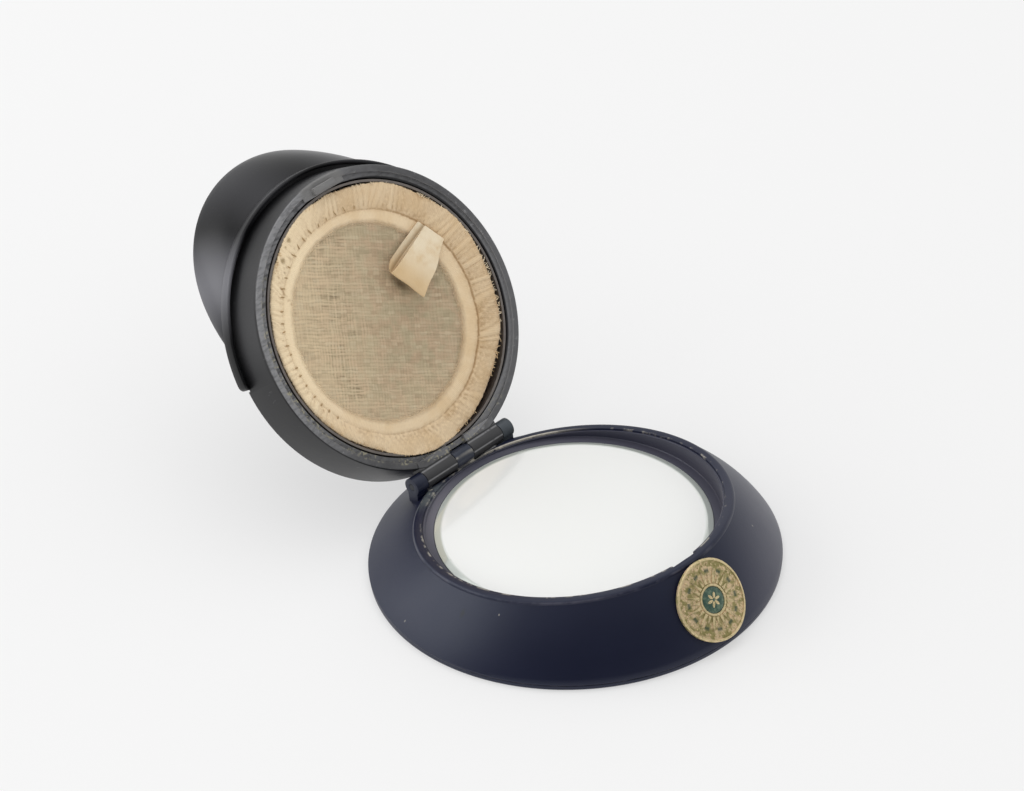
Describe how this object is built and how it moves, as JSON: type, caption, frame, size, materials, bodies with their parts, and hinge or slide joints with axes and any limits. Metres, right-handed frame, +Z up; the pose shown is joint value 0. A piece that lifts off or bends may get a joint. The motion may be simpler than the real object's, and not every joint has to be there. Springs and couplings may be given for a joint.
{
  "type": "compact mirror",
  "caption": "Cap-shaped powder compact: a crown with a round mirror, hinged to a band with a visor that holds powder and a ribbon-edged puff; standing open.",
  "frame": {"origin": "middle of the crown's flat top, where it rests on the table", "axes": "+Z up, -Y towards the badge, +Y towards the hinge and the open band, +X along the hinge"},
  "size_m": [0.076, 0.1229, 0.0567],
  "materials": {
    "navy_plastic": "satin navy moulding, worn pale at its edges",
    "clear_glass": "polished, bevelled edge",
    "silvering": "mirror",
    "card": "plain card",
    "badge_brass": "dull brass with a bright edge",
    "green_enamel": "dark green enamel",
    "pin_steel": "plain steel",
    "black_plastic": "satin black moulding",
    "visor_plastic": "glossy black",
    "pan_metal": "dull grey metal",
    "powder": "pressed powder",
    "velour": "soft velour",
    "gauze": "coarse open weave",
    "ribbon": "peach ribbon with a soft sheen"
  },
  "bodies": {
    "crown": {"crown_shell": "navy_plastic", "crown_top_disc": "navy_plastic", "mirror_glass": "clear_glass", "mirror_silvering": "silvering", "mirror_backing_card": "card", "badge_plate": "badge_brass", "badge_enamel": "green_enamel", "hinge_pin": "pin_steel"},
    "band": {"band_shell": "black_plastic", "band_base_plate": "black_plastic", "visor": "visor_plastic", "powder_pan": "pan_metal", "powder_cake": "powder", "puff_body": "velour", "puff_gauze": "gauze", "puff_border": "ribbon", "puff_tab": "ribbon"}
  },
  "joints": [
    {"name": "lid_hinge", "type": "hinge", "parent": "crown", "child": "band", "pos_m": [0, 0.02925, 0.00938], "axis": [1, 0, 0], "range_deg": [0, 119.7]}
  ]
}
